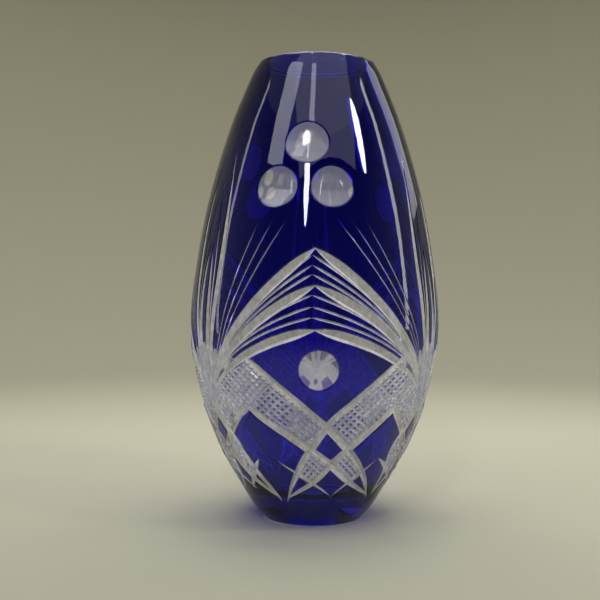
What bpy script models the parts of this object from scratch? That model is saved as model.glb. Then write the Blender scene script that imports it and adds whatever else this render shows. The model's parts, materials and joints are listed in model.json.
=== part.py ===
"""Cut crystal vase: a thick clear crystal body cased in a thin skin of cobalt glass.

The skin is cut right through to the clear glass. What the cutting leaves of it is a set of separate
cobalt fields: the shoulder, the foot, and between them the kites, chevrons and diamonds of a pattern
that repeats three times round the vase. The body and each of those fields is one closed solid.

The frame has its origin at the centre of the base, +Z up along the vase's axis, and one motif's axis
along -Y. Lengths are in metres. A place on the wall is given as (turn, height): the angle in degrees
round the vase from the motif's axis, positive to the right seen from outside, and the height.
"""
import math

import bmesh
import bpy
from mathutils import Vector
from mathutils.geometry import delaunay_2d_cdt

MM = 0.001

# ---- driving dimensions -------------------------------------------------------------------------
HEIGHT = 300 * MM
REPEATS = 3                      # motifs round the vase
PITCH = 360 / REPEATS            # degrees from one motif to the next
SKIN = 1.0 * MM                  # thickness of the cobalt layer
SKIN_GAP = 0.6 * MM              # clearance between the two layers, less the sag of their facets
SKIN_FOOT = 2.0 * MM             # the skin ends this far above the table
SKIN_TOP = HEIGHT - 1.5 * MM     # and this far below the rim
WALL = 7.5 * MM                  # clear wall, measured from the outer surface
BASE_THICKNESS = 19 * MM         # solid glass under the cavity
CAVITY_FLOOR_RADIUS = 27 * MM    # where the cavity's floor starts to turn up into its wall
BASE_RECESS = 0.8 * MM           # depth of the ground hollow under the base
RECESS_RADIUS = 21 * MM
RIM_CHAMFER = 1.6 * MM
COLUMNS = 48                     # facets round the vase
FOOT_ROW = 3.5 * MM              # height of the lowest row of facets on the skin
ROW_GROWTH = 1.25                # each row is this much taller than the one under it
SKIN_ROW = 14 * MM               # up to this height
LONGEST_SIDE = 9.0               # millimetres, of the sides of a cut's outline

# Outer radius at each height: an ovoid, widest a little below the middle.
OUTLINE = (
    (0, 32.5), (8, 39.5), (20, 46.9), (45, 61.4), (75, 73.4), (105, 80.6),
    (135, 82.0), (170, 78.1), (210, 70.6), (255, 57.6), (290, 43.6), (300, 38.0),
)

# ---- the cut pattern, degrees and millimetres ---------------------------------------------------
MITRE_WIDTH = 6.2                # broad mitre cuts of the chevrons
BORDER_WIDTH = 3.8               # mitres that edge the crosshatched bands
CHEVRON_TOPS = (176, 154, 128)   # heights where each pair of mitres meets
CHEVRON_LAP = 0.6                # degrees that each runs past the axis
CHEVRON_BOW = 6.5                # how far a mitre bends up from straight
FAN_FOOT = (50, 98)              # where a half fan converges, either side of FAN_LEAN
FAN_LEAN = 3                     # turn of the fans' and palms' middle from the motif's axis

# Round lens cuts: turn and height of the middle, and radius.
LENSES = ((-5, 240, 14.0), (-19.5, 213, 13.6), (8, 213, 13.6), (2, 104, 12.7))

# Upright cuts beside each fan: tip, bow and width. All start at TALL_FOOT.
TALL_FOOT = (50, 100)
TALL_CUTS = (((54.5, 238), 9, 5.0), ((59.5, 185), 4, 5.0))

# The palm: a crown of short flutes over each side crossing.
PALM_FLUTES = 7
PALM_HALF_TURN = 11              # degrees, from its middle to its outer flute's edge
PALM_FOOT = (12, 76)
PALM_TOP = 118                   # height of the middle flute's tip
PALM_DROP = 5                    # the outer flutes' tips are this much lower
FLUTE_NOTCH = 5.5                # depth of the notches between the tips

SMALLEST_FIELD = 20 * MM * MM    # slivers of skin smaller than this are ground away

# Border lines of the crossing bands, as turns and heights from where they start at the top to the
# tip where a band's two borders meet. The kite's bands cross under each motif, the side bands
# under each palm.
KITE_BAND = (
    [(37, 112), (24, 97.5), (12, 84), (0, 70), (-11, 54), (-23, 36), (-34, 19)],
    [(37, 79), (24, 66.5), (11, 54), (0, 43.5), (-13, 30.5), (-34, 19)],
)
SIDE_BAND = (
    [(-3, 82), (0, 76), (7, 64), (12, 55), (15.75, 35), (21.5, 19)],
    [(-22, 78), (-11, 64), (0, 50), (7.5, 31.5), (21.5, 19)],
)

CLEAR = (0.86, 0.88, 0.92, 1.0)
COBALT = (0.02, 0.015, 0.36, 1.0)


# ---- the outer surface --------------------------------------------------------------------------
def outline_slopes():
    """Slope of the outline at each of its points, as a smooth curve through them has it."""
    slopes = []
    last = len(OUTLINE) - 1
    for i in range(len(OUTLINE)):
        low = OUTLINE[max(i - 1, 0)]
        high = OUTLINE[min(i + 1, last)]
        slopes.append((high[1] - low[1]) / (high[0] - low[0]))
    return slopes


SLOPES = outline_slopes()


def radius(height):
    """Outer radius at a height, on a cubic curve through the outline's points."""
    z = min(max(height / MM, 0), OUTLINE[-1][0])
    i = 0
    while i < len(OUTLINE) - 2 and z > OUTLINE[i + 1][0]:
        i += 1
    (z0, r0), (z1, r1) = OUTLINE[i], OUTLINE[i + 1]
    span = z1 - z0
    t = (z - z0) / span
    r = (2 * t**3 - 3 * t**2 + 1) * r0 + (t**3 - 2 * t**2 + t) * span * SLOPES[i]
    r += (3 * t**2 - 2 * t**3) * r1 + (t**3 - t**2) * span * SLOPES[i + 1]
    return r * MM


def slope(height):
    """Change of the outer radius with height."""
    step = 0.2 * MM
    low = max(height - step, 0)
    high = min(height + step, HEIGHT)
    return (radius(high) - radius(low)) / (high - low)


def inward(height, depth):
    """Radius and height of the point that lies a depth under the surface, square to it."""
    k = slope(height)
    length = math.hypot(1, k)
    return radius(height) - depth / length, height + depth * k / length


def on_wall(turn, height, depth=0.0):
    """Point of the wall at a turn and a height, a depth under the outer surface."""
    r, z = inward(height, depth)
    a = math.radians(turn)
    return Vector((r * math.sin(a), -r * math.cos(a), z))


# ---- the wall laid out flat ---------------------------------------------------------------------
# The wall maps onto a flat ring whose radius grows with height so that angles are kept. Cuts are
# laid out on that ring, where the vase has no seam.
def ring_table():
    rows = 600
    table = [(0.0, 0.0)]
    reach = 0.0
    for i in range(rows):
        middle = HEIGHT * (i + 0.5) / rows
        reach += HEIGHT / rows * math.hypot(1, slope(middle)) / radius(middle)
        table.append((HEIGHT * (i + 1) / rows, reach))
    return table


RING = ring_table()


def flat(turn, height):
    share = height / HEIGHT * (len(RING) - 1)
    i = min(int(share), len(RING) - 2)
    reach = RING[i][1] + (RING[i + 1][1] - RING[i][1]) * (share - i)
    a = math.radians(turn)
    return Vector((math.exp(reach) * math.cos(a), math.exp(reach) * math.sin(a)))


def unflat(point):
    reach = math.log(point.length)
    low, high = 0, len(RING) - 1
    while high - low > 1:
        middle = (low + high) // 2
        if RING[middle][1] > reach:
            high = middle
        else:
            low = middle
    share = (reach - RING[low][1]) / (RING[high][1] - RING[low][1])
    height = RING[low][0] + share * (RING[high][0] - RING[low][0])
    return math.degrees(math.atan2(point.y, point.x)), height


# ---- outlines of the cuts -----------------------------------------------------------------------
def offset(place, along, distance):
    """Place moved square to a direction by a distance in millimetres, to the direction's left."""
    turn, z = place
    r = radius(z * MM) / MM
    stretch = math.hypot(1, slope(z * MM))
    dx = math.radians(along[0]) * r
    dz = along[1] * stretch
    length = math.hypot(dx, dz)
    return (
        turn + math.degrees(-dz / length * distance / r),
        z + dx / length * distance / stretch,
    )


def bowed(start, end, bow, steps):
    """Places along a cut from start to end, bent to its left by bow millimetres at the middle."""
    along = (end[0] - start[0], end[1] - start[1])
    places = []
    for i in range(steps + 1):
        t = i / steps
        place = (start[0] + along[0] * t, start[1] + along[1] * t)
        places.append(offset(place, along, 4 * bow * t * (1 - t)))
    return places


def groove(places, width, ends=(0.0, 0.0)):
    """Outline of a cut along places, full width at its middle and a share of that at its ends."""
    last = len(places) - 1
    left, right = [], []
    for i, place in enumerate(places):
        t = i / last
        share = ends[0] if t < 0.5 else ends[1]
        half = width / 2 * (share + (1 - share) * math.sqrt(max(0.0, 4 * t * (1 - t))))
        before = places[max(i - 1, 0)]
        after = places[min(i + 1, last)]
        along = (after[0] - before[0], after[1] - before[1])
        if half < 0.05:
            left.append(place)
            continue
        left.append(offset(place, along, half))
        right.append(offset(place, along, -half))
    return left + right[::-1]


def disc(centre, size, sides=20):
    """Outline of a round cut of a radius in millimetres."""
    outline = []
    for i in range(sides):
        a = 2 * math.pi * i / sides
        level = offset(centre, (0, 1), size * math.cos(a))
        outline.append(offset(level, (1, 0), size * math.sin(a)))
    return outline


def subdivided(outline):
    """A closed outline with its long sides cut up, so that it follows the wall."""
    places = []
    for i, (turn, z) in enumerate(outline):
        after = outline[(i + 1) % len(outline)]
        width = math.radians(after[0] - turn) * radius(z * MM) / MM
        steps = math.ceil(math.hypot(width, after[1] - z) / LONGEST_SIDE)
        for k in range(steps):
            places.append((turn + (after[0] - turn) * k / steps, z + (after[1] - z) * k / steps))
    return places


def mirrored(places):
    return [(-turn, z) for turn, z in places]


def turned(places, turn):
    return [(place[0] + turn, place[1]) for place in places]


def leaned(places, lean):
    """Places turned by what lean gives at their height: the hand cutting drifts as it goes down."""
    return [(turn + lean(z), z) for turn, z in places]


def kite_lean(z):
    """Turn of the kite bands' middle from the motif's axis, more towards the foot."""
    return 5.5 + 8 * min(max((75 - z) / 55, 0), 1)


def side_lean(z):
    """The same for the side bands, from halfway between two motifs."""
    return 3 + 10.5 * min(max((50 - z) / 30, 0), 1)


def fan_lean(_z):
    return FAN_LEAN


# ---- groups of cuts, for the motif whose axis is at turn 0 --------------------------------------
def lens_cuts():
    return [disc((turn, z), size) for turn, z, size in LENSES]


def chevron_cuts():
    """The broad mitres that meet on the motif's axis, from each top down to both fans' feet."""
    cuts = []
    for top in CHEVRON_TOPS:
        for side in (1, -1):
            foot = (side * FAN_FOOT[0] + FAN_LEAN, FAN_FOOT[1])
            places = bowed((-side * CHEVRON_LAP, top), foot, side * CHEVRON_BOW, 8)
            cuts.append(groove(places, MITRE_WIDTH, (0.12, 0.5)))
    return cuts


def tall_cuts():
    """The upright cuts at the outer side of each half fan."""
    cuts = []
    for tip, bow, width in TALL_CUTS:
        right = bowed(TALL_FOOT, tip, bow, 8)
        for places in (right, mirrored(right)):
            cuts.append(groove(leaned(places, fan_lean), width, (0.6, 0.0)))
    return cuts


def palm_cut():
    """The palm's scalloped crown and its body, down to the foot where its flutes converge."""
    half = PALM_HALF_TURN / PALM_FLUTES
    crown = []
    for i in range(PALM_FLUTES):
        middle = (2 * i + 1 - PALM_FLUTES) * half
        tip = PALM_TOP - PALM_DROP * (middle / PALM_HALF_TURN) ** 2
        crown += [(middle - half, tip - FLUTE_NOTCH), (middle - half / 2, tip), (middle + half / 2, tip)]
    crown.append((PALM_HALF_TURN, PALM_TOP - PALM_DROP - FLUTE_NOTCH))
    foot = [PALM_FOOT, (-PALM_FOOT[0], PALM_FOOT[1])]
    return turned(leaned(crown + foot, fan_lean), PITCH / 2)


def crossing(upper, lower, lean, turn):
    """A band and its mirror image, each between its two border lines."""
    pair = []
    for flip in (list, mirrored):
        outline = leaned(subdivided(flip(upper + lower[::-1])), lean)
        pair.append(turned(outline, turn))
    return pair


def borders(upper, lower, lean, turn):
    """The mitres that edge a band and its mirror image, tapered towards the band's lower tip."""
    cuts = []
    for flip in (list, mirrored):
        for line in (upper, lower):
            cuts.append(turned(groove(leaned(flip(line), lean), BORDER_WIDTH, (1.0, 0.2)), turn))
    return cuts


def hatched_ground():
    """The crosshatched ground over a side crossing, from the palm down to the bands' borders."""
    corners = [(-22, 110), (-22, 78), (-13.5, 68), (0, 78), (13.5, 68), (27, 79), (27, 110)]
    return turned(leaned(corners, side_lean), PITCH / 2)


def all_cuts():
    """Every cut's outline in turns and heights, for all the repeats."""
    one = lens_cuts() + chevron_cuts() + tall_cuts()
    one += borders(*KITE_BAND, kite_lean, 0)
    one += borders(*SIDE_BAND, side_lean, PITCH / 2)
    one += [palm_cut(), hatched_ground()]
    return [turned(subdivided(outline), k * PITCH) for k in range(REPEATS) for outline in one]


def all_crossings():
    """Pairs of bands. Where the two of a pair cross, the skin between their borders stays."""
    pairs = []
    for k in range(REPEATS):
        pairs.append(crossing(*KITE_BAND, kite_lean, k * PITCH))
        pairs.append(crossing(*SIDE_BAND, side_lean, (k + 0.5) * PITCH))
    return pairs


# ---- the cobalt fields --------------------------------------------------------------------------
def turning(outline):
    """Twice the area inside a flat outline, positive where it runs anticlockwise."""
    return sum(outline[i - 1].cross(outline[i]) for i in range(len(outline)))


def skin_heights():
    """Heights of the skin's rows, closer together at the foot, where the wall curves most."""
    heights = [SKIN_FOOT]
    step = FOOT_ROW
    while heights[-1] + step < SKIN_TOP - step / 2:
        heights.append(heights[-1] + step)
        step = min(step * ROW_GROWTH, SKIN_ROW)
    return heights + [SKIN_TOP]


def cut_skin():
    """Places and triangles of the skin with every cut taken out of it."""
    points, faces = [], []

    def add(outline):
        if turning(outline) < 0:
            outline = outline[::-1]
        first = len(points)
        points.extend(outline)
        faces.append(list(range(first, len(points))))
        return len(faces) - 1

    heights = skin_heights()
    turns = [360 * i / COLUMNS for i in range(COLUMNS)]
    skin = add([flat(turn, heights[-1]) for turn in turns])
    add([flat(turn, heights[0]) for turn in turns])
    for outline in all_cuts():
        add([flat(turn, z * MM) for turn, z in outline])
    staying = [{skin}]
    for pair in all_crossings():
        staying.append({skin} | {add([flat(turn, z * MM) for turn, z in outline]) for outline in pair})
    for row, height in enumerate(heights[1:-1]):
        shift = 180 / COLUMNS * (row % 2)
        points.extend(flat(turn + shift, height) for turn in turns)
    verts, _, triangles, _, _, parents = delaunay_2d_cdt(points, [], faces, 0, 1e-5, True)
    kept = [tri for tri, inside in zip(triangles, parents) if set(inside) in staying]
    return [unflat(v) for v in verts], kept


def fields(triangles):
    """The triangles in groups that share edges: one group for each field of the skin."""
    by_edge = {}
    for index, tri in enumerate(triangles):
        for i in range(3):
            by_edge.setdefault(frozenset((tri[i - 1], tri[i])), []).append(index)
    unseen = set(range(len(triangles)))
    groups = []
    while unseen:
        stack = [unseen.pop()]
        group = []
        while stack:
            index = stack.pop()
            group.append(triangles[index])
            tri = triangles[index]
            for i in range(3):
                for near in by_edge[frozenset((tri[i - 1], tri[i]))]:
                    if near in unseen:
                        unseen.remove(near)
                        stack.append(near)
        groups.append(group)
    return groups


def field_area(places, group):
    area = 0
    for tri in group:
        a, b, c = (on_wall(*places[i]) for i in tri)
        area += (b - a).cross(c - a).length / 2
    return area


def field_mesh(name, places, group):
    """A closed solid over the group's triangles, from the outer surface in to the skin's depth."""
    used = sorted({i for tri in group for i in tri})
    mesh = bmesh.new()
    outer = {i: mesh.verts.new(on_wall(*places[i])) for i in used}
    inner = {i: mesh.verts.new(on_wall(*places[i], SKIN)) for i in used}
    directed = set()
    for a, b, c in group:
        mesh.faces.new((outer[c], outer[b], outer[a]))
        mesh.faces.new((inner[a], inner[b], inner[c]))
        directed.update(((a, b), (b, c), (c, a)))
    for a, b in directed:
        if (b, a) not in directed:
            mesh.faces.new((outer[a], outer[b], inner[b], inner[a]))
    mesh.normal_update()
    data = bpy.data.meshes.new(name)
    mesh.to_mesh(data)
    mesh.free()
    return data


def field_name(places, group):
    """Name of a field from where its middle lies, and how far round the vase it reaches."""
    used = {i for tri in group for i in tri}
    heights = [places[i][1] for i in used]
    east = sum(math.sin(math.radians(places[i][0])) for i in used)
    north = sum(math.cos(math.radians(places[i][0])) for i in used)
    turn = math.degrees(math.atan2(east, north))
    if max(heights) > SKIN_TOP - MM:
        return "cobalt_shoulder"
    if min(heights) < SKIN_FOOT + MM:
        return "cobalt_foot"
    middle = (min(heights) + max(heights)) / 2
    share = (turn % PITCH) / PITCH
    number = int(round(turn / PITCH)) % REPEATS + 1
    if middle < 80 * MM:
        if 0.25 < share < 0.75:
            return f"cobalt_side_diamond_{int(turn // PITCH) % REPEATS + 1}"
        return f"cobalt_diamond_{number}"
    if middle < 110 * MM:
        return f"cobalt_kite_{number}"
    if middle < 140 * MM:
        return f"cobalt_lower_chevron_{number}"
    return f"cobalt_upper_chevron_{number}"


# ---- the clear body -----------------------------------------------------------------------------
def rim_point(depth, drop):
    """Point of a wall surface a depth in, carried on in line to a drop below the rim."""
    r0, z0 = inward(HEIGHT - 12 * MM, depth)
    r1, z1 = inward(HEIGHT - 6 * MM, depth)
    z = HEIGHT - drop
    return r1 + (r1 - r0) / (z1 - z0) * (z - z1), z


def cavity_curve(steps):
    """The cavity's floor turning up into its wall, one cubic from level to the wall's own lean."""
    r3, z3 = inward(38 * MM, WALL)
    k = slope(38 * MM)
    length = math.hypot(1, k)
    r0, z0 = CAVITY_FLOOR_RADIUS, BASE_THICKNESS
    r1, z1 = r0 + 13 * MM, z0
    r2, z2 = r3 - 12 * MM * k / length, z3 - 12 * MM / length
    points = []
    for i in range(steps + 1):
        t = i / steps
        b0, b1, b2, b3 = (1 - t)**3, 3 * t * (1 - t)**2, 3 * t**2 * (1 - t), t**3
        points.append((b0 * r0 + b1 * r1 + b2 * r2 + b3 * r3, b0 * z0 + b1 * z1 + b2 * z2 + b3 * z3))
    return points


def body_profile():
    """Half section of the clear body, from under the base's centre out, up, over and down inside."""
    depth = SKIN + SKIN_GAP
    r, z = inward(0, depth)
    profile = [(0, BASE_RECESS), (RECESS_RADIUS, BASE_RECESS), (RECESS_RADIUS + BASE_RECESS, 0)]
    profile.append((r - z, 0))
    rows = 18
    top = HEIGHT - 8 * MM
    profile += [inward(top * i / rows, depth) for i in range(rows + 1)]
    profile.append(rim_point(depth, RIM_CHAMFER))
    edge = rim_point(depth, 0)[0]
    lip = rim_point(WALL, 0)[0]
    profile += [(edge - RIM_CHAMFER, HEIGHT), (lip + RIM_CHAMFER, HEIGHT)]
    profile.append(rim_point(WALL, RIM_CHAMFER))
    rows = 12
    profile += [inward(top - (top - 50 * MM) * i / rows, WALL) for i in range(rows + 1)]
    profile += cavity_curve(5)[::-1]
    profile.append((0, BASE_THICKNESS))
    return profile


def lathe(name, profile):
    """Solid of revolution of a half section that starts and ends on the axis."""
    mesh = bmesh.new()
    rings = []
    for r, z in profile:
        if r == 0:
            rings.append([mesh.verts.new((0, 0, z))] * COLUMNS)
            continue
        angles = [2 * math.pi * i / COLUMNS for i in range(COLUMNS)]
        rings.append([mesh.verts.new((r * math.sin(a), -r * math.cos(a), z)) for a in angles])
    for low, high in zip(rings, rings[1:]):
        for i in range(COLUMNS):
            corners = [low[i - 1], low[i], high[i], high[i - 1]]
            mesh.faces.new(list(dict.fromkeys(corners)))
    mesh.normal_update()
    data = bpy.data.meshes.new(name)
    mesh.to_mesh(data)
    mesh.free()
    return data


# ---- objects ------------------------------------------------------------------------------------
def glass(name, colour, roughness):
    material = bpy.data.materials.new(name)
    material.use_nodes = True
    shader = material.node_tree.nodes["Principled BSDF"]
    shader.inputs["Base Color"].default_value = colour
    shader.inputs["Roughness"].default_value = roughness
    shader.inputs["Metallic"].default_value = 0.0
    shader.inputs["Transmission Weight"].default_value = 1.0
    shader.inputs["IOR"].default_value = 1.54
    material.diffuse_color = colour
    return material


def place_object(name, data, colour, roughness):
    data.materials.append(glass(name, colour, roughness))
    data.shade_smooth()
    data.set_sharp_from_angle(angle=math.radians(35))
    thing = bpy.data.objects.new(name, data)
    bpy.context.scene.collection.objects.link(thing)
    return thing


def build():
    for thing in list(bpy.data.objects):
        bpy.data.objects.remove(thing)
    place_object("crystal_body", lathe("crystal_body", body_profile()), CLEAR, 0.05)
    places, triangles = cut_skin()
    for group in fields(triangles):
        if field_area(places, group) < SMALLEST_FIELD:
            continue
        name = field_name(places, group)
        place_object(name, field_mesh(name, places, group), COBALT, 0.04)


build()
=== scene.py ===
"""Looks of the cut crystal vase: a clear crystal body under a thin cobalt layer, cut through by hand.

The two layers of glass are turned shapes. Every cut is a solid of what the wheel takes away, and
the same cuts are taken out of both layers, so the cobalt is left as separate fields with the clear
glass of the body in the cuts between them.

Lengths are in metres in the frame, and in millimetres in the layout of the cuts. A place on the
wall is (turn, height): degrees round the vase from the front motif's axis, positive to the right
seen from outside, and millimetres above the table.
"""
import json
import math

import bmesh
import bpy
import numpy as np
from mathutils import Matrix, Vector
from mathutils.geometry import delaunay_2d_cdt
from mathutils.kdtree import KDTree

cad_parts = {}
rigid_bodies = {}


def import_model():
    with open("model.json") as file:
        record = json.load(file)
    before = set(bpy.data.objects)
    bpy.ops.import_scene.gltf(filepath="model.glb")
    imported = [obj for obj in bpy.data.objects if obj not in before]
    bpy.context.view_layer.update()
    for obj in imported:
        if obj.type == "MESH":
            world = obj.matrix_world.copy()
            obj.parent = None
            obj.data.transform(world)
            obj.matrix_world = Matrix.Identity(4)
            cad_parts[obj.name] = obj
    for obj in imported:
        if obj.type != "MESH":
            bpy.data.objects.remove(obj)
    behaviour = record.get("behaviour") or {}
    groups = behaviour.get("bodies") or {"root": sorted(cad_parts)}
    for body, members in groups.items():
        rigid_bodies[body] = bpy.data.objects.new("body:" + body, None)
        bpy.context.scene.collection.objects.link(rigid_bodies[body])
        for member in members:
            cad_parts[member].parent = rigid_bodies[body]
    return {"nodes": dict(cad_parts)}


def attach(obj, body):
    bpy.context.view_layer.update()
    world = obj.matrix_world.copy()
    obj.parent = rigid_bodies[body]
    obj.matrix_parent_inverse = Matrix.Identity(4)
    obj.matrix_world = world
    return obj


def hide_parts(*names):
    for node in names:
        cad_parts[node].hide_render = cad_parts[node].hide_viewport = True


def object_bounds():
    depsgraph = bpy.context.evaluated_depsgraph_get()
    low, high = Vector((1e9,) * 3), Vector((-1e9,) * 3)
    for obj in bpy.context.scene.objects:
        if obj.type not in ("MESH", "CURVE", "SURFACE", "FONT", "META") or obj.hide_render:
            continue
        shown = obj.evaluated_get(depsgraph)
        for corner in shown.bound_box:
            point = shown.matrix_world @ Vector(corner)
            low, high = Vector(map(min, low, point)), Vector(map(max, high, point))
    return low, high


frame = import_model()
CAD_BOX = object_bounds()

MM = 0.001
HEIGHT = (CAD_BOX[1][2] - CAD_BOX[0][2]) / MM
REPEATS = 3
PITCH = 360 / REPEATS

# ---- sizes of the glass, in millimetres ----------------------------------------------------------
# Outer radius at each height.
OUTLINE = (
    (0, 32.5), (8, 39.5), (20, 46.9), (45, 61.4), (75, 73.4), (105, 80.6),
    (135, 82.0), (170, 78.1), (210, 70.6), (255, 57.6), (290, 43.6), (300, 38.0),
)
SKIN = 0.35                      # the cobalt layer
FILM = 0.02                      # clearance between the two layers
SKIN_FOOT = 0.7
SKIN_TOP = 298.0
WALL = 7.5
BASE_THICKNESS = 19
CAVITY_FLOOR = 27
RECESS = 0.8
RECESS_RADIUS = 21
COLUMNS = 216
ROWS = 120
SLIVER = 20                      # a loose part with fewer vertices than this is waste of the cutting

# ---- the cut pattern -----------------------------------------------------------------------------
# Each lens: the turn and height of its centre, and its radius.
LENSES = ((-5, 240, 14.0), (-19.5, 213, 13.6), (8, 213, 13.6), (2, 104, 12.7))
LENS_DEPTH = 2.6
LENS_REACH = 1.16                # how far the round wheel's solid goes past the lens, in its radius
LENS_OVER = 4                    # and how far out of the surface it stands
CHEVRON_TOPS = (176, 154, 128)
CHEVRON_LAP = 0.8                # how far a mitre's tip runs on past the axis, in steps of its path
CHEVRON_BOW = 7.5
CHEVRON_TILT = math.radians(11)  # the wheel leans, so a chevron's upper face is the broad one
MITRE_WIDTH = 7.4
FINE_TOPS = (173, 167, 161.5, 149, 142, 135.5)
FINE_WIDTH = 2.1
FINE_BOW = CHEVRON_BOW * 0.9
FINE_STARTS = (-2.8, 0.2)        # turn at which the cuts to the right and to the left start
FAN_LEAN = 3
FAN_END = (60, 82)
FINE_END = (54, 94)
RAY_TIPS = (8, 15, 22.5)
RAY_TOP = 199
RAY_WIDTH = 1.3
RAY_BOW = 4
# Upright cuts: the place of the tip, the bow and the width.
TALL_CUTS = (((54.5, 238), 9, 5.2), ((60.5, 222), 8, 2.2), ((59.5, 185), 4, 5.0))
PALM_FLUTES = 7
PALM_HALF_TURN = 11
PALM_FOOT = 74
PALM_TOP = 119
PALM_DROP = 5
PALM_GATHER = 0.12               # share of the palm's spread that is left at its foot
PALM_WIDTHS = (1.4, 5.0)
PALM_DEPTH = 1.7
# Each band: places along its upper border and along its lower one.
KITE_BAND = (
    [(37, 112), (24, 97.5), (12, 84), (0, 70), (-11, 54), (-23, 36), (-34, 19)],
    [(37, 79), (24, 66.5), (11, 54), (0, 43.5), (-13, 30.5), (-34, 19)],
)
SIDE_BAND = (
    [(-3, 82), (0, 76), (7, 64), (12, 55), (15.75, 35), (21.5, 19)],
    [(-22, 78), (-11, 64), (0, 50), (7.5, 31.5), (21.5, 19)],
)
BORDER_WIDTH = 6.2
BORDER_INSET = 1.1               # how far inside its band each border's deepest line runs
HATCH_RISE = 1.14                # millimetres up for each degree round
HATCH_STEP = 4.56                # millimetres of height between two lines
HATCH_DEPTH = 1.25
HATCH_ZONE = (14, 116)           # heights that the lines run between
HATCH_LINES = range(-15, 52)
GROUND_DEPTH = 0.5               # the hatched ground is first cleared of cobalt to this depth
NET = (2.5, 4.3)                 # degrees and millimetres between the points that carry its surface
NET_FOOT = 15
NET_ROWS = 24

# Half the angle of each wheel's edge.
MITRE_ANGLE = math.radians(57.5)
FINE_ANGLE = math.radians(43)
HATCH_ANGLE = math.radians(52)
ABOVE = 2.5                      # how far a cutter stands out of the surface
SLAB_OVER = 3.5                  # the same for the slabs that clear the hatched ground
WINDOW_DEPTH = 3.0               # how deep the zone reaches that the hatching is kept to

# A cut across the foot of each band: its start, its end and its width.
KITE_CROSSING = ((34, 49), (-2.5, 20.5), 3.0)
SIDE_CROSSING = ((26, 49), (-5.5, 21.5), 5.2)

# Outlines of each band's hatched arm, and of the ground under a palm that is cleared and hatched.
KITE_ARM = KITE_BAND[0][:5] + [(-22, 37.5), (-13, 30.5)] + KITE_BAND[1][3::-1]
SIDE_ARM = [(-3, 82), (0, 76), (7, 64), (12, 55), (15, 40.5), (6.3, 34), (0, 50), (-11, 64), (-22, 78)]
CLEARED = [(-22, 110), (-22, 78), (-13.5, 68), (0, 78), (13.5, 68), (27, 79), (27, 110)]
HATCHED = [(-22, 108)] + CLEARED[1:6] + [(27, 108), (13, 98), (0, 80), (-12, 98)]

# ---- the glass's colours -------------------------------------------------------------------------
# Cobalt as an absorption, whose strength in each channel is density x (1 - colour) per metre.
COBALT = (0.239, 0.0, 0.8875, 1)
COBALT_DENSITY = 16600
IOR = 1.54
# Each pair is the two colours that the white of the wheel's scratches is mottled between.
WARM = ((0.74, 0.735, 0.63), (0.97, 0.96, 0.88))
CLEAN = ((0.88, 0.88, 0.84), (0.95, 0.95, 0.92))
COOL = ((0.60, 0.61, 0.64), (0.86, 0.86, 0.87))


# ---- the outer surface ---------------------------------------------------------------------------
def outline_slopes():
    slopes = []
    last = len(OUTLINE) - 1
    for i in range(len(OUTLINE)):
        low = OUTLINE[max(i - 1, 0)]
        high = OUTLINE[min(i + 1, last)]
        slopes.append((high[1] - low[1]) / (high[0] - low[0]))
    return slopes


SLOPES = outline_slopes()


def radius(z):
    """Outer radius at a height, on a cubic curve through the outline's points."""
    z = min(max(z, 0), OUTLINE[-1][0])
    i = 0
    while i < len(OUTLINE) - 2 and z > OUTLINE[i + 1][0]:
        i += 1
    (z0, r0), (z1, r1) = OUTLINE[i], OUTLINE[i + 1]
    span = z1 - z0
    t = (z - z0) / span
    r = (2 * t**3 - 3 * t**2 + 1) * r0 + (t**3 - 2 * t**2 + t) * span * SLOPES[i]
    return r + (3 * t**2 - 2 * t**3) * r1 + (t**3 - t**2) * span * SLOPES[i + 1]


def slope(z):
    low = max(z - 0.2, 0)
    high = min(z + 0.2, HEIGHT)
    return (radius(high) - radius(low)) / (high - low)


def inward(z, depth):
    k = slope(z)
    length = math.hypot(1, k)
    return radius(z) - depth / length, z + depth * k / length


def normal_at(place):
    turn, z = place
    k = slope(z)
    length = math.hypot(1, k)
    a = math.radians(turn)
    return Vector((math.sin(a) / length, -math.cos(a) / length, -k / length))


def point_at(place, depth=0.0):
    r, z = inward(place[1], depth)
    a = math.radians(place[0])
    return Vector((r * math.sin(a), -r * math.cos(a), z))


def offset(place, along, distance):
    """Place moved square to a direction by a distance, to the direction's left."""
    turn, z = place
    r = radius(z)
    stretch = math.hypot(1, slope(z))
    dx = math.radians(along[0]) * r
    dz = along[1] * stretch
    length = math.hypot(dx, dz)
    return (
        turn + math.degrees(-dz / length * distance / r),
        z + dx / length * distance / stretch,
    )


def bowed(start, end, bow, steps):
    """Places along a cut from start to end, bent to its left by bow at the middle."""
    along = (end[0] - start[0], end[1] - start[1])
    places = []
    for i in range(steps + 1):
        t = i / steps
        place = (start[0] + along[0] * t, start[1] + along[1] * t)
        places.append(offset(place, along, 4 * bow * t * (1 - t)))
    return places


def smooth(corners, steps):
    """Places along a line through corners, steps to each side, rounded where it turns."""
    places = []
    last = len(corners) - 1
    for i in range(last):
        p0, p1 = corners[max(i - 1, 0)], corners[i]
        p2, p3 = corners[i + 1], corners[min(i + 2, last)]
        for s in range(steps):
            t = s / steps
            places.append(tuple(
                0.5 * (
                    2 * b + (c - a) * t
                    + (2 * a - 5 * b + 4 * c - d) * t**2
                    + (3 * b - a - 3 * c + d) * t**3
                )
                for a, b, c, d in zip(p0, p1, p2, p3)
            ))
    return places + [corners[-1]]


def mirrored(places):
    return [(-turn, z) for turn, z in places]


def turned(places, turn):
    return [(place[0] + turn, place[1]) for place in places]


def leaned(places, lean):
    return [(turn + lean(z), z) for turn, z in places]


def kite_lean(z):
    return 5.5 + 8 * min(max((75 - z) / 55, 0), 1)


def side_lean(z):
    return 3 + 10.5 * min(max((50 - z) / 30, 0), 1)


def fan_lean(_z):
    return FAN_LEAN


def ray_lean(z):
    return FAN_LEAN - 5 * min(max((z - 120) / 80, 0), 1)


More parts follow.
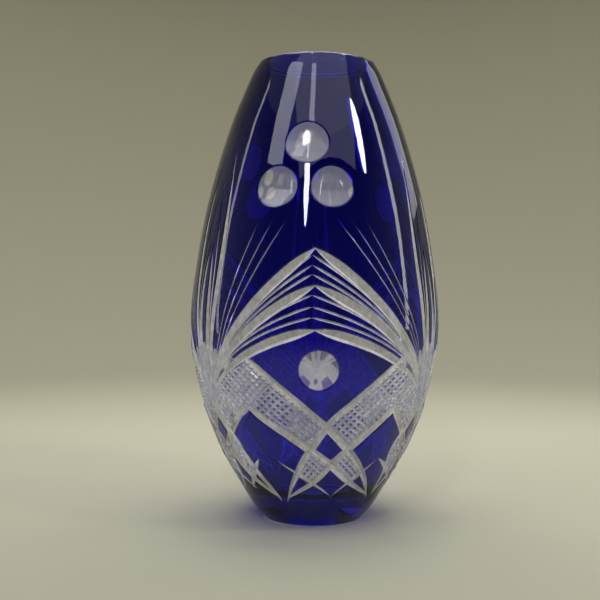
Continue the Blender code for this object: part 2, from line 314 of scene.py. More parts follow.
# ---- solids --------------------------------------------------------------------------------------
def mesh_object(name, verts, faces, materials):
    data = bpy.data.meshes.new(name)
    data.from_pydata([tuple(c * MM for c in v) for v in verts], [], faces)
    data.update()
    for material in materials:
        data.materials.append(material)
    return bpy.data.objects.new(name, data)


def lathe(profile):
    """Vertices and faces turned from a half section, which starts and ends on the axis or closes."""
    verts, faces, rings = [], [], []
    for r, z in profile:
        if r == 0:
            rings.append([len(verts)] * COLUMNS)
            verts.append((0, 0, z))
            continue
        rings.append(range(len(verts), len(verts) + COLUMNS))
        for i in range(COLUMNS):
            a = 2 * math.pi * i / COLUMNS
            verts.append((r * math.sin(a), -r * math.cos(a), z))
    if profile[0][0] > 0:
        rings.append(rings[0])
    for low, high in zip(rings, rings[1:]):
        for i in range(COLUMNS):
            corners = (low[i - 1], low[i], high[i], high[i - 1])
            faces.append(tuple(dict.fromkeys(corners)))
    return verts, faces


def prism(places, sections):
    """A solid swept along places on the wall; each section is points (side, out) round it."""
    verts, faces = [], []
    last = len(places) - 1
    points = [point_at(place) for place in places]
    count = len(sections[0])
    for i, section in enumerate(sections):
        normal = normal_at(places[i])
        along = (points[min(i + 1, last)] - points[max(i - 1, 0)]).normalized()
        side = normal.cross(along).normalized()
        verts += [points[i] + side * x + normal * y for x, y in section]
    for i in range(last):
        low, high = i * count, (i + 1) * count
        for k in range(count):
            after = (k + 1) % count
            faces.append((low + k, low + after, high + after, high + k))
    faces.append(tuple(range(count))[::-1])
    faces.append(tuple(range(last * count, (last + 1) * count)))
    return verts, faces


def swell(t, rise, fall, ends):
    """Share of a cut's full depth at t along it: an arc up over rise and down over fall."""
    if t < rise:
        return ends[0] + (1 - ends[0]) * (1 - ((rise - t) / rise) ** 2)
    if t > 1 - fall:
        return ends[1] + (1 - ends[1]) * (1 - ((t - 1 + fall) / fall) ** 2)
    return 1.0


def vee(places, width, angle, rise=0.5, fall=0.5, ends=(-0.1, -0.1), tilt=0.0):
    """The solid that a wheel with a pointed edge takes away along places, the wheel held at a tilt."""
    left, right = math.tan(angle - tilt), math.tan(angle + tilt)
    deepest = width / (left + right)
    sections = []
    last = len(places) - 1
    for i in range(last + 1):
        depth = deepest * swell(i / last, rise, fall, ends)
        point = (left - right) / 2 * depth
        high = ABOVE + depth
        sections.append([(point, -depth), (point + right * high, ABOVE), (point - left * high, ABOVE)])
    return prism(places, sections)


def flute(places, widths, depths):
    """The solid that a wheel with a rounded edge takes away, of a width and depth at each place."""
    sections = []
    spread = 1.3                 # the edge's curve is carried on past the surface by this
    for width, depth in zip(widths, depths):
        section = []
        for k in range(-4, 5):
            x = spread * k / 4
            section.append((x * width / 2, -depth * (1 - x * x)))
        section += [(width * 0.8, ABOVE), (-width * 0.8, ABOVE)]
        sections.append(section)
    return prism(places, sections)


def dish(centre, size):
    """The solid that a round wheel takes away to leave a dished lens of a radius."""
    turns, rings = 72, 10
    verts = [point_at(centre) - normal_at(centre) * LENS_DEPTH]
    faces = []
    for ring in range(1, rings + 1):
        share = LENS_REACH * ring / rings
        for i in range(turns):
            a = 2 * math.pi * i / turns
            level = offset(centre, (0, 1), size * share * math.cos(a))
            place = offset(level, (1, 0), size * share * math.sin(a))
            verts.append(point_at(place) - normal_at(place) * LENS_DEPTH * (1 - share**2))
    top = len(verts)
    normal = normal_at(centre)
    verts += [v + normal * LENS_OVER for v in verts[-turns:]]
    for i in range(turns):
        j = (i + 1) % turns
        faces.append((0, 1 + i, 1 + j))
        for ring in range(rings):
            a = 1 + ring * turns
            faces.append((a + j, a + i, a + turns + i, a + turns + j))
    faces.append(tuple(range(top, top + turns))[::-1])
    return verts, faces


def subdivided(outline, longest=3.0):
    """A closed outline with its long sides cut up, so that it follows the wall."""
    places = []
    for i, (turn, z) in enumerate(outline):
        after = outline[(i + 1) % len(outline)]
        width = math.radians(after[0] - turn) * radius(z)
        steps = math.ceil(math.hypot(width, after[1] - z) / longest)
        for k in range(steps):
            places.append((turn + (after[0] - turn) * k / steps, z + (after[1] - z) * k / steps))
    return places


def laid_out(outlines, crossings):
    """Places and triangles of what the outlines cover, less where the two of a crossing meet."""
    points, faces = [], []

    def add(outline):
        flat = [Vector(place) for place in outline]
        if sum(flat[i - 1].cross(flat[i]) for i in range(len(flat))) < 0:
            flat.reverse()
        faces.append(list(range(len(points), len(points) + len(flat))))
        points.extend(flat)
        return len(faces) - 1

    for outline in outlines:
        add(outline)
    gaps = [{add(outline) for outline in pair} for pair in crossings]
    low, high = min(p.x for p in points), max(p.x for p in points)
    across, up = NET
    for row in range(NET_ROWS):
        for column in range(math.ceil((high - low) / across)):
            turn = low + (column + 0.5 * (row % 2)) * across
            points.append(Vector((turn, NET_FOOT + row * up)))
    verts, _, triangles, _, _, parents = delaunay_2d_cdt(points, [], faces, 0, 1e-5, True)
    kept = [tri for tri, inside in zip(triangles, parents) if inside and set(inside) not in gaps]
    return [tuple(v) for v in verts], kept


def parted(triangles):
    """Triangles with their corners numbered afresh, and the place of each number.

    Triangles that touch only at a corner get a number each for it, so that a solid raised on them
    stays a closed body there.
    """
    group = {}

    def root(key):
        while group.setdefault(key, key) != key:
            key = group[key]
        return key

    owner = {}
    for n, tri in enumerate(triangles):
        for a, b in zip(tri, tri[1:] + tri[:1]):
            owner[a, b] = n
    for (a, b), n in owner.items():
        other = owner.get((b, a))
        if other is not None:
            for corner in (a, b):
                group[root((n, corner))] = root((other, corner))
    numbers = {}
    fresh = [
        [numbers.setdefault(root((n, corner)), len(numbers)) for corner in tri]
        for n, tri in enumerate(triangles)
    ]
    return fresh, [corner for _, corner in numbers]


def slab(layout, under, over):
    """A layout as a solid slab of the wall, from a depth under the surface to a height over it."""
    places, triangles = layout
    triangles, corners = parted([list(tri) for tri in triangles])
    top = [point_at(places[i]) + normal_at(places[i]) * over for i in corners]
    bottom = [point_at(places[i]) - normal_at(places[i]) * under for i in corners]
    count = len(corners)
    faces = []
    directed = set()
    for a, b, c in triangles:
        faces += [(a, b, c), (c + count, b + count, a + count)]
        directed.update(((a, b), (b, c), (c, a)))
    for a, b in directed:
        if (b, a) not in directed:
            faces.append((b, a, a + count, b + count))
    return top + bottom, faces


# ---- the cuts of one motif, with its axis at turn 0 ----------------------------------------------
def mitre_cuts():
    """Broad mitres: chevrons, upright cuts, band borders and crossing cuts."""
    cuts = []
    for side in (1, -1):
        foot = (side * FAN_END[0] + FAN_LEAN, FAN_END[1])
        for top in CHEVRON_TOPS:
            places = bowed((0, top), foot, side * CHEVRON_BOW, 30)
            tip = tuple(a + (a - b) * CHEVRON_LAP for a, b in zip(places[0], places[1]))
            tilt = side * CHEVRON_TILT
            cuts.append(vee([tip] + places, MITRE_WIDTH, MITRE_ANGLE, 0.2, 0.8, (-0.1, 0.3), tilt))
        for tip, bow, width in TALL_CUTS:
            places = bowed((side * FAN_END[0], FAN_END[1]), (side * tip[0], tip[1]), side * bow, 30)
            cuts.append(vee(leaned(places, fan_lean), width, MITRE_ANGLE, 0.4, 0.6, (0.3, -0.05)))
    return cuts


def fine_cuts():
    """Thin cuts between the chevrons, and the long rays over them."""
    cuts = []
    for side, start in zip((1, -1), FINE_STARTS):
        foot = (side * FINE_END[0], FINE_END[1])
        for top in FINE_TOPS:
            places = bowed((start, top), (foot[0] + FAN_LEAN, foot[1]), side * FINE_BOW, 20)
            cuts.append(vee(places, FINE_WIDTH, FINE_ANGLE, 0.08, 0.6, (-0.2, 0.4)))
        for tip in RAY_TIPS:
            places = bowed((side * tip, RAY_TOP), foot, side * RAY_BOW, 24)
            cuts.append(vee(leaned(places, ray_lean), RAY_WIDTH, FINE_ANGLE, 0.3, 0.3, (-0.2, 0.6)))
    return cuts


def border_cuts(band, lean, crossing):
    """The mitres along both borders of a band and its mirror image, and the cut across its foot."""
    cuts = []
    for flip in (list, mirrored):
        for line, inset in zip(band, (-BORDER_INSET, BORDER_INSET)):
            places = leaned(flip([(turn, z + inset) for turn, z in smooth(line, 6)]), lean)
            cuts.append(vee(places, BORDER_WIDTH, MITRE_ANGLE, 0.1, 0.4, (0.6, 0.2)))
        start, end, width = crossing
        places = leaned(flip(bowed(start, end, 0, 20)), lean)
        cuts.append(vee(places, width, MITRE_ANGLE if width > 3 else FINE_ANGLE, 0.5, 0.5))
    return cuts


def palm_cuts():
    """Short packed flutes that spread from a foot under each palm to its scalloped crown."""
    cuts = []
    half = PALM_HALF_TURN / PALM_FLUTES
    steps = 24
    narrow, wide = PALM_WIDTHS
    for i in range(PALM_FLUTES):
        middle = (2 * i + 1 - PALM_FLUTES) * half
        tip = PALM_TOP - PALM_DROP * (middle / PALM_HALF_TURN) ** 2
        gathered = middle * PALM_GATHER
        places = bowed((gathered, PALM_FOOT), (middle, tip), -gathered, steps)
        widths = [narrow + (wide - narrow) * min(1, 1.2 * k / steps) for k in range(steps + 1)]
        depths = [PALM_DEPTH * swell(k / steps, 0.5, 0.16, (0.3, -0.1)) for k in range(steps + 1)]
        cuts.append(flute(leaned(places, fan_lean), widths, depths))
    return cuts


def hatch_lines():
    """Two families of crossing lines over the bands' zone, in step all the way round."""
    cuts = []
    reach = PITCH / 2 + 1
    steps = 40
    width = 2 * HATCH_DEPTH * math.tan(HATCH_ANGLE)
    for way in (1, -1):
        for n in HATCH_LINES:
            start = n * HATCH_STEP
            places = []
            for k in range(steps + 1):
                turn = -reach + 2 * reach * k / steps
                z = start + way * HATCH_RISE * turn
                if HATCH_ZONE[0] < z < HATCH_ZONE[1]:
                    places.append((turn + kite_lean(z), z))
            if len(places) > 2:
                cuts.append(vee(places, width, HATCH_ANGLE, 0.01, 0.01, (1, 1)))
    return cuts


def shifted(solid, turn):
    """A solid turned round the vase's axis."""
    verts, faces = solid
    a = math.radians(turn)
    c, s = math.cos(a), math.sin(a)
    return [Vector((c * v[0] - s * v[1], s * v[0] + c * v[1], v[2])) for v in verts], faces


# ---- putting the cuts together -------------------------------------------------------------------
def collection(name, solids, material):
    """A hidden collection of one object for each solid, for a Boolean to use."""
    group = bpy.data.collections.new(name)
    for n, (verts, faces) in enumerate(solids):
        group.objects.link(mesh_object(f"{name}_{n}", verts, faces, [material]))
    return group


def boolean(thing, operation, groups):
    """The thing's mesh after a Boolean with each group in turn, with the modifiers applied."""
    scene = bpy.context.scene.collection
    scene.objects.link(thing)
    for group in groups:
        scene.children.link(group)
        modifier = thing.modifiers.new(group.name, "BOOLEAN")
        modifier.operation = operation
        modifier.operand_type = "COLLECTION"
        modifier.collection = group
        modifier.solver = "MANIFOLD"
        modifier.material_mode = "TRANSFER"
    graph = bpy.context.evaluated_depsgraph_get()
    data = bpy.data.meshes.new_from_object(thing.evaluated_get(graph), depsgraph=graph)
    thing.modifiers.clear()
    for group in groups:
        scene.children.unlink(group)
    scene.objects.unlink(thing)
    return data


def discard(group):
    for thing in list(group.objects):
        bpy.data.objects.remove(thing)
    bpy.data.collections.remove(group)


def pair(outline, lean, turn):
    return [turned(leaned(subdivided(flip(outline)), lean), turn) for flip in (list, mirrored)]


def around(solids):
    """Solids of one motif, repeated round the vase."""
    return [shifted(solid, k * PITCH) for k in range(REPEATS) for solid in solids]


def united(name, solids, finish):
    """One object of the union of solids that may overlap."""
    group = collection(name, solids, finish)
    first = group.objects[0]
    group.objects.unlink(first)
    first.data = boolean(first, "UNION", [group])
    discard(group)
    return first


def hatching(ground, finish):
    """The crossing lines as one solid, kept to the bands' zone."""
    lines = united("line", around(hatch_lines()), finish)
    window = bpy.data.collections.new("window")
    window.objects.link(united("zone", around([slab(ground, WINDOW_DEPTH, SLAB_OVER)]), finish))
    lines.data = boolean(lines, "INTERSECT", [window])
    discard(window)
    return lines


def all_cuts(ground, hatch, palm, mitre, fine, lens):
    """Collections of cutting solids for the whole vase, each in its finish's material."""
    half = PITCH / 2
    crossings = [pair(KITE_ARM, kite_lean, 0), pair(SIDE_ARM, side_lean, half)]
    cleared, hatched = (
        laid_out([turned(leaned(subdivided(outline), side_lean), half)], crossings)
        for outline in (CLEARED, HATCHED)
    )
    broad = mitre_cuts() + border_cuts(KITE_BAND, kite_lean, KITE_CROSSING)
    broad += [shifted(cut, half) for cut in border_cuts(SIDE_BAND, side_lean, SIDE_CROSSING)]
    flutes = [shifted(cut, half) for cut in palm_cuts()]
    lenses = [dish((turn, z), size) for turn, z, size in LENSES]
    grounds = collection("ground", around([slab(cleared, GROUND_DEPTH, SLAB_OVER)]), ground)
    grounds.objects.link(hatching(hatched, hatch))
    return [
        grounds,
        collection("palm", around(flutes), palm),
        collection("mitre", around(broad), mitre),
        collection("fine", around(fine_cuts()), fine),
        collection("lens", around(lenses), lens),
    ]


# ---- the two layers of glass ---------------------------------------------------------------------
def wall_line(depth, low, high, rows):
    """Points of a wall surface at a depth, from one height to another."""
    return [inward(low + (high - low) * i / rows, depth) for i in range(rows + 1)]


def rim_radius(depth, drop):
    """Radius of a wall surface a depth in, carried on in line to a drop below the rim."""
    r0, z0 = inward(HEIGHT - 12, depth)
    r1, z1 = inward(HEIGHT - 6, depth)
    return r1 + (r1 - r0) / (z1 - z0) * (HEIGHT - drop - z1)


def cavity_curve(steps):
    """The cavity's floor turning up into its wall, one cubic from level to the wall's own lean."""
    r3, z3 = inward(38, WALL)
    k = slope(38)
    length = math.hypot(1, k)
    r0, z0 = CAVITY_FLOOR, BASE_THICKNESS
    r1, z1 = r0 + 13, z0
    r2, z2 = r3 - 12 * k / length, z3 - 12 / length
    points = []
    for i in range(steps + 1):
        t = i / steps
        b0, b1, b2, b3 = (1 - t)**3, 3 * t * (1 - t)**2, 3 * t**2 * (1 - t), t**3
        points.append((b0 * r0 + b1 * r1 + b2 * r2 + b3 * r3, b0 * z0 + b1 * z1 + b2 * z2 + b3 * z3))
    return points


def body_profile():
    """Half section of the clear body, from under the base's centre out, up, over and down inside."""
    depth = SKIN + FILM
    shelf = RECESS_RADIUS + 2
    profile = [(RECESS_RADIUS * i / 6, RECESS) for i in range(7)]
    for i in range(1, 7):
        level = RECESS * (0.5 + 0.5 * math.cos(math.pi * i / 6))
        profile.append((RECESS_RADIUS + 2 * i / 6, level))
    foot_r = inward(SKIN_FOOT, depth)[0]
    profile += [(shelf + (foot_r - 1.2 - shelf) * i / 4, 0) for i in range(1, 5)]
    profile += [(foot_r - 0.6, 0.06), (foot_r - 0.2, 0.22)]
    profile += wall_line(depth, SKIN_FOOT, SKIN_TOP, ROWS)
    outer_r, edge_z = profile[-1]
    rim_rise = HEIGHT - edge_z
    inner_r = rim_radius(WALL, rim_rise)
    middle = (outer_r + inner_r) / 2
    reach = (outer_r - inner_r) / 2
    for i in range(17):
        a = math.pi * i / 16
        c, s = math.cos(a), math.sin(a)
        profile.append((middle + reach * math.copysign(abs(c)**0.8, c), edge_z + rim_rise * s**0.8))
    profile += wall_line(WALL, HEIGHT - 5, 40, 60)
    profile += cavity_curve(14)[::-1]
    profile += [(CAVITY_FLOOR * (5 - i) / 5, BASE_THICKNESS) for i in range(1, 6)]
    return profile


def skin_profile():
    """Section of the cobalt layer before it is cut: up its outside and down its inside."""
    outer = wall_line(0, SKIN_FOOT, SKIN_TOP, ROWS)
    inner = wall_line(SKIN, SKIN_TOP, SKIN_FOOT, ROWS)
    return outer + inner


def cut_layer(name, profile, finish, cuts):
    """A turned layer with the cuts taken out, less the slivers left where two cuts nearly meet."""
    thing = mesh_object(name, *lathe(profile), [finish])
    thing.data = boolean(thing, "DIFFERENCE", cuts)
    part = loose_parts(thing.data)
    keep_vertices(thing.data, np.bincount(part)[part] >= SLIVER)
    return thing


def tidy_shading(data, is_wall):
    """Smooth shading with the cuts' edges sharp, and the turned walls' own normals on their faces."""
    data.polygons.foreach_set("use_smooth", [True] * len(data.polygons))
    data.set_sharp_from_angle(angle=math.radians(22))
    corner_edges = np.empty(len(data.loops), np.int32)
    data.loops.foreach_get("edge_index", corner_edges)
    starts = np.empty(len(data.polygons), np.int32)
    totals = np.empty(len(data.polygons), np.int32)
    data.polygons.foreach_get("loop_start", starts)
    data.polygons.foreach_get("loop_total", totals)
    face_of_corner = np.repeat(np.arange(len(totals)), totals)
    wall = is_wall[face_of_corner]
    count = np.bincount(corner_edges, wall, len(data.edges))
    sharp = np.empty(len(data.edges), bool)
    data.attributes["sharp_edge"].data.foreach_get("value", sharp)
    data.attributes["sharp_edge"].data.foreach_set("value", sharp | (count == 1))
    corner_verts = np.empty(len(data.loops), np.int32)
    data.loops.foreach_get("vertex_index", corner_verts)
    points = np.empty(len(data.vertices) * 3)
    data.vertices.foreach_get("co", points)
    points = points.reshape(-1, 3)[corner_verts] / MM
    heights = np.linspace(0, HEIGHT, 601)
    k = np.interp(points[:, 2], heights, [slope(z) for z in heights])
    level = np.hypot(points[:, 0], points[:, 1])
    normals = np.stack([points[:, 0] / level, points[:, 1] / level, -k], 1)
    normals /= np.linalg.norm(normals, axis=1)[:, None]
    facing = np.empty(len(data.polygons) * 3)
    data.polygons.foreach_get("normal", facing)
    facing = facing.reshape(-1, 3)[face_of_corner]
    normals *= np.sign((normals * facing).sum(1))[:, None]
    normals[~wall] = 0
    data.normals_split_custom_set(normals.tolist())


def face_centres(data):
    centres = np.empty(len(data.polygons) * 3)
    data.polygons.foreach_get("center", centres)
    return centres.reshape(-1, 3) / MM


def depths(points):
    """How deep points lie under the outer surface, in millimetres."""
    heights = np.linspace(0, HEIGHT, 601)
    r = np.interp(points[:, 2], heights, [radius(z) for z in heights])
    k = np.interp(points[:, 2], heights, [slope(z) for z in heights])
    return (r - np.hypot(points[:, 0], points[:, 1])) / np.hypot(1, k)


def loose_parts(data):
    """For each vertex, a number shared by all the vertices it is joined to."""
    ends = np.empty(len(data.edges) * 2, np.int32)
    data.edges.foreach_get("vertices", ends)
    a, b = ends.reshape(-1, 2).T
    part = np.arange(len(data.vertices))
    while True:
        least = np.minimum(part[a], part[b])
        after = part.copy()
        np.minimum.at(after, a, least)
        np.minimum.at(after, b, least)
        after = after[after]
        if (after == part).all():
            return part
        part = after


def keep_vertices(data, kept):
    """Delete every vertex that isn't kept, with the faces on it."""
    mesh = bmesh.new()
    mesh.from_mesh(data)
    mesh.verts.ensure_lookup_table()
    bmesh.ops.delete(mesh, geom=[v for v in mesh.verts if not kept[v.index]], context="VERTS")
    mesh.to_mesh(data)
    mesh.free()


def fields_of_cobalt(skin, nodes):
    """The cut skin as a mesh for each CAD node of cobalt, by the node nearest to each loose part."""
    tree = KDTree(sum(len(node.data.vertices) for node in nodes))
    owners = []
    for n, node in enumerate(nodes):
        for vertex in node.data.vertices:
            tree.insert(node.matrix_world @ vertex.co, len(owners))
            owners.append(n)
    tree.balance()
    part = loose_parts(skin)
    node_of = np.zeros(len(part), np.int32)
    for label in np.unique(part):
        members = np.flatnonzero(part == label)
        sample = members[::len(members) // 60 + 1]
        votes = [owners[tree.find(skin.vertices[i].co)[1]] for i in sample]
        node_of[members] = max(set(votes), key=votes.count)
    fields = []
    for n, node in enumerate(nodes):
        data = skin.copy()
        keep_vertices(data, node_of == n)
        fields.append(data)
    return fields


# ---- finishes ------------------------------------------------------------------------------------
class Finish:
    """A node material being built round one Principled shader."""

    def __init__(self, name):
        self.material = bpy.data.materials.new(name)
        self.material.use_nodes = True
        self.tree = self.material.node_tree
        self.shader = self.tree.nodes["Principled BSDF"]
        self.output = self.tree.nodes["Material Output"]
        self.place = self.node("ShaderNodeTexCoord").outputs["Object"]

    def node(self, kind, **settings):
        made = self.tree.nodes.new(kind)
        for key, value in settings.items():
            setattr(made, key, value)
        return made

    def link(self, source, target):
        self.tree.links.new(source, target)

    def set(self, **values):
        for key, value in values.items():
            self.shader.inputs[key.replace("_", " ")].default_value = value

    def noise(self, scale, detail=3.0, stretch=None):
        made = self.node("ShaderNodeTexNoise")
        made.inputs["Scale"].default_value = scale
        made.inputs["Detail"].default_value = detail
        source = self.place
        if stretch:
            mapping = self.node("ShaderNodeMapping")
            mapping.inputs["Scale"].default_value = stretch
            self.link(source, mapping.inputs["Vector"])
            source = mapping.outputs["Vector"]
        self.link(source, made.inputs["Vector"])
        return made.outputs["Fac"]

    def ranged(self, source, low, high, start=0.3, end=0.7):
        made = self.node("ShaderNodeMapRange")
        self.link(source, made.inputs["Value"])
        made.inputs["From Min"].default_value = start
        made.inputs["From Max"].default_value = end
        made.inputs["To Min"].default_value = low
        made.inputs["To Max"].default_value = high
        return made.outputs["Result"]

    def bump(self, source, strength, distance, under=None):
        made = self.node("ShaderNodeBump")
        made.inputs["Strength"].default_value = strength
        made.inputs["Distance"].default_value = distance
        self.link(source, made.inputs["Height"])
        if under:
            self.link(under, made.inputs["Normal"])
        return made.outputs["Normal"]

    def lets_lamps_through(self, share):
        """Lamps shine on through the glass, which would otherwise cast a black shadow."""
        mix = self.node("ShaderNodeMixShader")
        clear = self.node("ShaderNodeBsdfTransparent")
        clear.inputs["Color"].default_value = (share, share, share, 1)
        self.link(self.node("ShaderNodeLightPath").outputs["Is Shadow Ray"], mix.inputs["Fac"])
        self.link(self.shader.outputs["BSDF"], mix.inputs[1])
        self.link(clear.outputs["BSDF"], mix.inputs[2])
        self.link(mix.outputs["Shader"], self.output.inputs["Surface"])


def crystal(name, clear, low, high, grain_scale, grain, wave, mottle=((1, 1, 1), (1, 1, 1))):
    """Clear crystal with a roughness that varies from low to high over a fine grain.

    What isn't clear of it is the white of the wheel's scratches, mottled from one colour to another.
    """
    finish = Finish(name)
    finish.set(Transmission_Weight=clear, IOR=IOR)
    shade = finish.node("ShaderNodeMix", data_type="RGBA")
    shade.inputs["A"].default_value = (*mottle[0], 1)
    shade.inputs["B"].default_value = (*mottle[1], 1)
    patches = finish.ranged(finish.noise(420, 4.0, (1, 1, 0.6)), 0.0, 1.0, 0.38, 0.62)
    finish.link(patches, shade.inputs["Factor"])
    finish.link(shade.outputs["Result"], finish.shader.inputs["Base Color"])
    finish.link(finish.ranged(finish.noise(grain_scale), low, high), finish.shader.inputs["Roughness"])
    normal = finish.bump(finish.noise(90, 2.0, (1, 1, 0.35)), wave, 0.001)
    if grain:
        normal = finish.bump(finish.noise(grain_scale * 2), grain, 0.0002, normal)
    finish.link(normal, finish.shader.inputs["Normal"])
    finish.lets_lamps_through(0.9)
    return finish.material


def cobalt_glass():
    """The overlay: polished outside and at its cut edges, and one with the body at its inner face."""
    finish = Finish("cobalt_glass")
    finish.set(Base_Color=(1, 1, 1, 1), Transmission_Weight=1.0, IOR=IOR)
    finish.link(finish.ranged(finish.noise(160), 0.0, 0.03), finish.shader.inputs["Roughness"])
    normal = finish.bump(finish.noise(60, 2.0, (1, 1, 0.3)), 0.05, 0.001)
    finish.link(normal, finish.shader.inputs["Normal"])
    joint = finish.node("ShaderNodeAttribute", attribute_name="joint")
    finish.link(finish.ranged(joint.outputs["Fac"], 1.0, 0.0, 0.0, 1.0), finish.shader.inputs["Alpha"])
    finish.lets_lamps_through(0.95)
    colour = finish.node("ShaderNodeVolumeAbsorption")
    colour.inputs["Color"].default_value = COBALT
    colour.inputs["Density"].default_value = COBALT_DENSITY
    finish.link(colour.outputs["Volume"], finish.output.inputs["Volume"])
    return finish.material


def cased():
    """The body's face under the cobalt, where the two layers are fused and light isn't bent."""
    finish = Finish("crystal_under_cobalt")
    finish.set(Base_Color=(1, 1, 1, 1), Transmission_Weight=1.0, IOR=IOR, Alpha=0.0)
    finish.link(finish.ranged(finish.noise(120), 0.0, 0.03), finish.shader.inputs["Roughness"])
    return finish.material


# ---- the vase ------------------------------------------------------------------------------------
finishes = {
    "cased": cased(),
    "ground": crystal("crystal_ground", 0.96, 0.04, 0.10, 900, 0.05, 0.03, COOL),
    "hatch": crystal("crystal_hatched", 0.5, 0.08, 0.18, 900, 0.05, 0.03, COOL),
    "palm": crystal("crystal_palm_flutes", 0.45, 0.08, 0.14, 300, 0.0, 0.02, COOL),
    "mitre": crystal("crystal_mitre_cut", 0.38, 0.05, 0.15, 320, 0.20, 0.03, WARM),
    "fine": crystal("crystal_fine_cut", 0.35, 0.10, 0.18, 700, 0.08, 0.02, COOL),
    "lens": crystal("crystal_lens_cut", 0.78, 0.04, 0.12, 300, 0.0, 0.03, CLEAN),
    "polished": crystal("crystal_polished", 1.0, 0.0, 0.02, 200, 0.0, 0.05),
}
cobalt = cobalt_glass()
cuts = all_cuts(*(finishes[name] for name in ("ground", "hatch", "palm", "mitre", "fine", "lens")))
nodes = frame["nodes"]

core = cut_layer("crystal_vase_body", body_profile(), finishes["cased"], cuts)
core.data.materials.append(finishes["polished"])
slots = np.empty(len(core.data.polygons), np.int32)
core.data.polygons.foreach_get("material_index", slots)
centres = face_centres(core.data)
levels = centres[:, 2]
turned_faces = slots == 0
under_skin = (depths(centres) < SKIN + 0.3) & (levels > SKIN_FOOT) & (levels < SKIN_TOP - 0.4)
plain_wall = (depths(centres) < WALL + 1) & (levels > 50) & (levels < HEIGHT - 6)
wall_faces = turned_faces & (plain_wall | under_skin)
slots[turned_faces & ~under_skin] = len(core.data.materials) - 1
core.data.polygons.foreach_set("material_index", slots)
tidy_shading(core.data, wall_faces)
bpy.context.scene.collection.objects.link(core)
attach(core, "root")
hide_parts("crystal_body")

skin = cut_layer("skin", skin_profile(), cobalt, cuts)
cobalt_nodes = [node for name, node in nodes.items() if name.startswith("cobalt")]
for node, data in zip(cobalt_nodes, fields_of_cobalt(skin.data, cobalt_nodes)):
    slots = np.empty(len(data.polygons), np.int32)
    data.polygons.foreach_get("material_index", slots)
    inner = (slots == 0) & (depths(face_centres(data)) > SKIN - 0.02)
    joint = data.attributes.new("joint", "FLOAT", "FACE")
    joint.data.foreach_set("value", inner.astype(np.float32))
    tidy_shading(data, slots == 0)
    data.polygons.foreach_set("material_index", np.zeros(len(slots), np.int32))
    data.materials.clear()
    data.materials.append(cobalt)
    field = bpy.data.objects.new(f"{node.name}_glass", data)
    bpy.context.scene.collection.objects.link(field)
    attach(field, "root")
    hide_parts(node.name)
bpy.data.objects.remove(skin)
for group in cuts:
    discard(group)


# ---- stage, light and camera ---------------------------------------------------------------------
SWEEP_LEVEL, SWEEP_BEND, SWEEP_TOP = 900, 500, 1500
SWEEP_PAINTED_SHADE = (0.12, 0.12, 0.10, 1)     # painted shade: the sweep's colour on the camera's side, dark for the front of the glass to mirror
SWEEP_PALE = (0.50, 0.485, 0.37, 1)    # on the far side
AIM = Vector((0, 0, 0.16))             # what every lamp points at
CAMERA_PLACE = (0, -0.6287, 0.1575)
CAMERA_PITCH = math.radians(-1.27)
CAMERA_ROLL = math.radians(0.56)


def cove():
    """A round studio sweep: a level floor that turns up into a wall all the way round."""
    profile = [(SWEEP_LEVEL * i / 6, 0) for i in range(7)]
    for i in range(1, 13):
        a = math.pi / 2 * i / 12
        profile.append((SWEEP_LEVEL + SWEEP_BEND * math.sin(a), SWEEP_BEND * (1 - math.cos(a))))
    profile.append((SWEEP_LEVEL + SWEEP_BEND, SWEEP_TOP))
    verts, faces = lathe(profile)
    finish = Finish("studio_sweep")
    axes = finish.node("ShaderNodeSeparateXYZ")
    finish.link(finish.place, axes.inputs["Vector"])
    # Painted shade: the sweep's colour darkens from the far side towards the camera's side, for the
    # front of the glass to mirror.
    shade = finish.node("ShaderNodeMix", data_type="RGBA")
    shade.inputs["A"].default_value = SWEEP_PAINTED_SHADE
    shade.inputs["B"].default_value = SWEEP_PALE
    finish.link(finish.ranged(axes.outputs["Y"], 0.0, 1.0, -1.0, 0.35), shade.inputs["Factor"])
    finish.link(shade.outputs["Result"], finish.shader.inputs["Base Color"])
    finish.set(Roughness=0.8, Specular_IOR_Level=0.1)
    finish.link(finish.bump(finish.noise(400), 0.1, 0.0005), finish.shader.inputs["Normal"])
    sweep = mesh_object("studio_sweep", verts, [face[::-1] for face in faces], [finish.material])
    sweep.data.polygons.foreach_set("use_smooth", [True] * len(faces))
    bpy.context.scene.collection.objects.link(sweep)


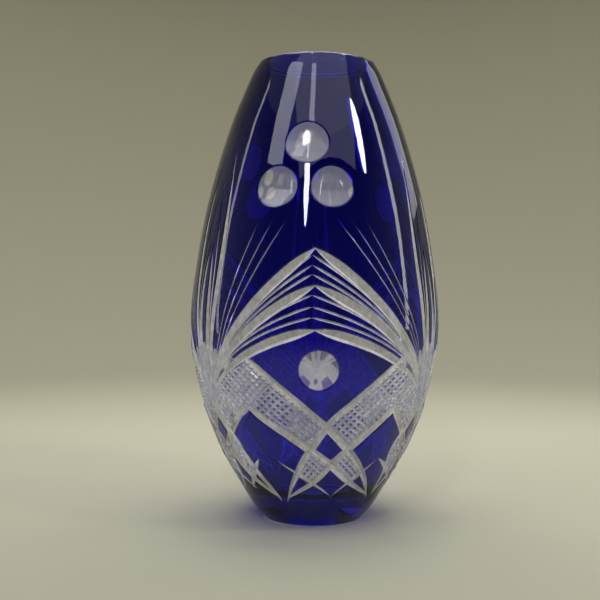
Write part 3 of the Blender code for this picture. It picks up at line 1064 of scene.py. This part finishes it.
def softbox(name, azimuth, elevation, distance, width, height, power, shape="RECTANGLE"):
    """A flat lamp that points at AIM; azimuth 0 is in front and positive is to the right."""
    lamp = bpy.data.lights.new(name, "AREA")
    lamp.shape = shape
    lamp.size = width
    lamp.size_y = height
    lamp.energy = power
    a, e = math.radians(azimuth), math.radians(elevation)
    away = Vector((math.sin(a) * math.cos(e), -math.cos(a) * math.cos(e), math.sin(e)))
    holder = bpy.data.objects.new(name, lamp)
    holder.location = AIM + away * distance
    holder.rotation_mode = "QUATERNION"
    holder.rotation_quaternion = away.to_track_quat("Z", "Y")
    bpy.context.scene.collection.objects.link(holder)


def camera():
    forward = Vector((0, math.cos(CAMERA_PITCH), math.sin(CAMERA_PITCH)))
    up = Vector((0, -math.sin(CAMERA_PITCH), math.cos(CAMERA_PITCH)))
    right = Vector((1, 0, 0))
    across = right * math.cos(CAMERA_ROLL) + up * math.sin(CAMERA_ROLL)
    over = up * math.cos(CAMERA_ROLL) - right * math.sin(CAMERA_ROLL)
    data = bpy.data.cameras.new("camera")
    data.sensor_width = 36
    data.lens = 56.5
    data.shift_x = -0.0247
    holder = bpy.data.objects.new("camera", data)
    holder.matrix_world = Matrix((across, over, -forward)).transposed().to_4x4()
    holder.location = CAMERA_PLACE
    bpy.context.scene.collection.objects.link(holder)
    bpy.context.scene.camera = holder


cove()
softbox("key", 58, 42, 0.9, 0.10, 0.28, 1.5, "ELLIPSE")
softbox("left_panel", -50, 50, 0.95, 0.26, 0.50, 1.2)
softbox("front_strip", -7, 54, 0.95, 0.08, 0.36, 0.3)
softbox("lens_light", -10, 35, 0.95, 0.08, 0.40, 1.6, "ELLIPSE")
softbox("front_fill", 14, 62, 1.2, 1.3, 1.0, 3)
softbox("left_strip", -94, 20, 0.9, 0.05, 0.9, 0.35)
softbox("right_strip", 88, 22, 0.9, 0.07, 0.9, 0.9)
softbox("back_right", 124, 30, 0.95, 0.3, 0.5, 0.6)
softbox("overhead", 180, 74, 0.95, 0.9, 0.7, 9)
world = bpy.data.worlds.new("world")
world.use_nodes = True
sky = world.node_tree.nodes["Background"]
sky.inputs["Color"].default_value = (0.22, 0.22, 0.21, 1)
sky.inputs["Strength"].default_value = 1.0
bpy.context.scene.world = world
bpy.context.scene.view_settings.view_transform = "Standard"
camera()
